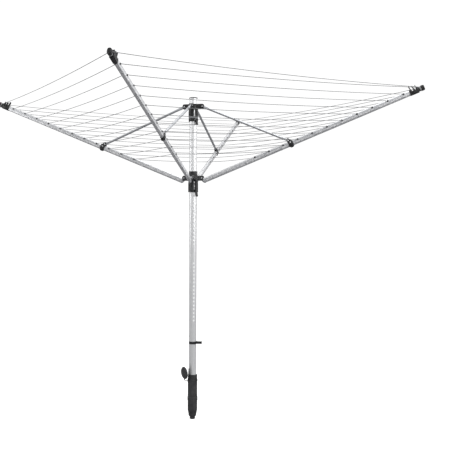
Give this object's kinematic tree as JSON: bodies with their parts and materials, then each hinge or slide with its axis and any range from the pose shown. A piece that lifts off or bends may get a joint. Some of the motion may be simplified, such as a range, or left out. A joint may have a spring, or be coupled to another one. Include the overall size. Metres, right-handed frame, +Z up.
{
  "type": "rotary clothesline",
  "caption": "Folding rotary clothesline: arms on sliding hubs, struts, spiral drying line, jointed mast and ground socket with a hinged lid.",
  "frame": {"origin": "centre of the ground socket's flat foot, on the mast's axis, in the middle of the open star", "axes": "+Z up along the mast, the four arms point along +X, +Y, -X and -Y, both levers sit between +X and -Y"},
  "size_m": [2.9578, 2.9578, 2.2093],
  "materials": {
    "arm_alloy": "satin drawn aluminium",
    "mast_alloy": "bright drawn aluminium",
    "steel": "zinc-plated",
    "black_plastic": "satin moulded",
    "grey_plastic": "satin moulded",
    "cap_plastic": "satin moulded",
    "socket_plastic": "matte moulded",
    "liner_plastic": "smooth white",
    "line_cord": "smooth plastic coating"
  },
  "bodies": {
    "ground": {"ground_socket": "socket_plastic", "strap_ring": "socket_plastic", "mast_bush": "black_plastic"},
    "lid": {"lid": "socket_plastic"},
    "mast": {"mast_foot": "black_plastic", "mast_lower_tube": "mast_alloy", "mast_upper_tube": "mast_alloy", "mast_joiner": "steel", "ladder_liner": "liner_plastic", "mast_cap": "cap_plastic", "peg_bag_hook": "black_plastic"},
    "snap_button": {"snap_button": "steel"},
    "upper": {"upper_hub": "black_plastic", "upper_hub_band": "grey_plastic", "upper_clamp_ring": "black_plastic", "upper_brake_shoe": "grey_plastic", "upper_lever_pin": "steel", "upper_hub_pin_1": "steel", "upper_hub_pin_2": "steel", "upper_hub_pin_3": "steel", "upper_hub_pin_4": "steel", "drying_line": "line_cord"},
    "upper_lever": {"upper_lever": "black_plastic"},
    "lower": {"lower_hub": "black_plastic", "lower_brake_shoe": "grey_plastic", "lower_lever_pin": "steel", "lower_hub_pin_1": "steel", "lower_hub_pin_2": "steel", "lower_hub_pin_3": "steel", "lower_hub_pin_4": "steel"},
    "lower_lever": {"lower_lever": "black_plastic"},
    "strut_1": {"strut_1": "arm_alloy"},
    "strut_2": {"strut_2": "arm_alloy"},
    "strut_3": {"strut_3": "arm_alloy"},
    "strut_4": {"strut_4": "arm_alloy"},
    "arm_1": {"arm_tube_1": "arm_alloy", "arm_root_1": "arm_alloy", "arm_cap_1": "black_plastic", "bracket_1": "black_plastic", "bracket_bolt_1": "steel", "strut_pin_1": "steel"},
    "arm_2": {"arm_tube_2": "arm_alloy", "arm_root_2": "arm_alloy", "arm_cap_2": "black_plastic", "bracket_2": "black_plastic", "bracket_bolt_2": "steel", "strut_pin_2": "steel"},
    "arm_3": {"arm_tube_3": "arm_alloy", "arm_root_3": "arm_alloy", "arm_cap_3": "black_plastic", "bracket_3": "black_plastic", "bracket_bolt_3": "steel", "strut_pin_3": "steel"},
    "arm_4": {"arm_tube_4": "arm_alloy", "arm_root_4": "arm_alloy", "arm_cap_4": "black_plastic", "bracket_4": "black_plastic", "bracket_bolt_4": "steel", "strut_pin_4": "steel"}
  },
  "joints": [
    {"name": "mast_spin", "type": "hinge", "parent": "ground", "child": "mast", "pos_m": [0, 0, 0.3], "axis": [0, 0, 1], "continuous": true},
    {"name": "lid_swing", "type": "hinge", "parent": "ground", "child": "lid", "pos_m": [-0.04365, -0.04681, 0.28], "axis": [0.7314, -0.682, 0], "range_deg": [-8, 92]},
    {"name": "button_press", "type": "slide", "parent": "mast", "child": "snap_button", "axis": [0.8988, 0.4384, 0], "range_m": [0, 0.0019], "stiffness_N_per_m": 900},
    {"name": "height_slide", "type": "slide", "parent": "mast", "child": "upper", "axis": [0, 0, 1], "range_m": [-0.2, 0.03]},
    {"name": "upper_lever_lift", "type": "hinge", "parent": "upper", "child": "upper_lever", "pos_m": [0.02899, -0.02899, 2.035], "axis": [-0.7071, -0.7071, 0], "range_deg": [0, 75]},
    {"name": "fold", "type": "hinge", "parent": "upper", "child": "strut_1", "pos_m": [0.062, 0, 2.12438], "axis": [0, 1, 0], "range_deg": [0, 62.4], "deforming": ["drying_line"]},
    {"name": "strut_2_turn", "type": "hinge", "parent": "upper", "child": "strut_2", "pos_m": [0, 0.062, 2.12438], "axis": [-1, 0, 0], "range_deg": [0, 62.4]},
    {"name": "strut_3_turn", "type": "hinge", "parent": "upper", "child": "strut_3", "pos_m": [-0.062, 0, 2.12438], "axis": [0, -1, 0], "range_deg": [0, 62.4]},
    {"name": "strut_4_turn", "type": "hinge", "parent": "upper", "child": "strut_4", "pos_m": [0, -0.062, 2.12438], "axis": [1, 0, 0], "range_deg": [0, 62.4]},
    {"name": "arm_1_turn", "type": "hinge", "parent": "strut_1", "child": "arm_1", "pos_m": [0.63924, 0, 1.88469], "axis": [0, 1, 0], "range_deg": [-124.8, 0]},
    {"name": "arm_2_turn", "type": "hinge", "parent": "strut_2", "child": "arm_2", "pos_m": [0, 0.63924, 1.88469], "axis": [-1, 0, 0], "range_deg": [-124.8, 0]},
    {"name": "arm_3_turn", "type": "hinge", "parent": "strut_3", "child": "arm_3", "pos_m": [-0.63924, 0, 1.88469], "axis": [0, -1, 0], "range_deg": [-124.8, 0]},
    {"name": "arm_4_turn", "type": "hinge", "parent": "strut_4", "child": "arm_4", "pos_m": [0, -0.63924, 1.88469], "axis": [1, 0, 0], "range_deg": [-124.8, 0]},
    {"name": "lower_hub_turn", "type": "hinge", "parent": "arm_1", "child": "lower", "pos_m": [0.062, 0, 1.645], "axis": [0, 1, 0], "range_deg": [0, 62.4]},
    {"name": "lower_lever_lift", "type": "hinge", "parent": "lower", "child": "lower_lever", "pos_m": [0.02899, -0.02899, 1.64], "axis": [-0.7071, -0.7071, 0], "range_deg": [0, 75]}
  ],
  "couplings": [
    {"joint": "strut_2_turn", "follows": "fold", "ratio": 1},
    {"joint": "strut_3_turn", "follows": "fold", "ratio": 1},
    {"joint": "strut_4_turn", "follows": "fold", "ratio": 1},
    {"joint": "arm_1_turn", "follows": "fold", "ratio": -2},
    {"joint": "arm_2_turn", "follows": "fold", "ratio": -2},
    {"joint": "arm_3_turn", "follows": "fold", "ratio": -2},
    {"joint": "arm_4_turn", "follows": "fold", "ratio": -2},
    {"joint": "lower_hub_turn", "follows": "fold", "ratio": 1}
  ]
}
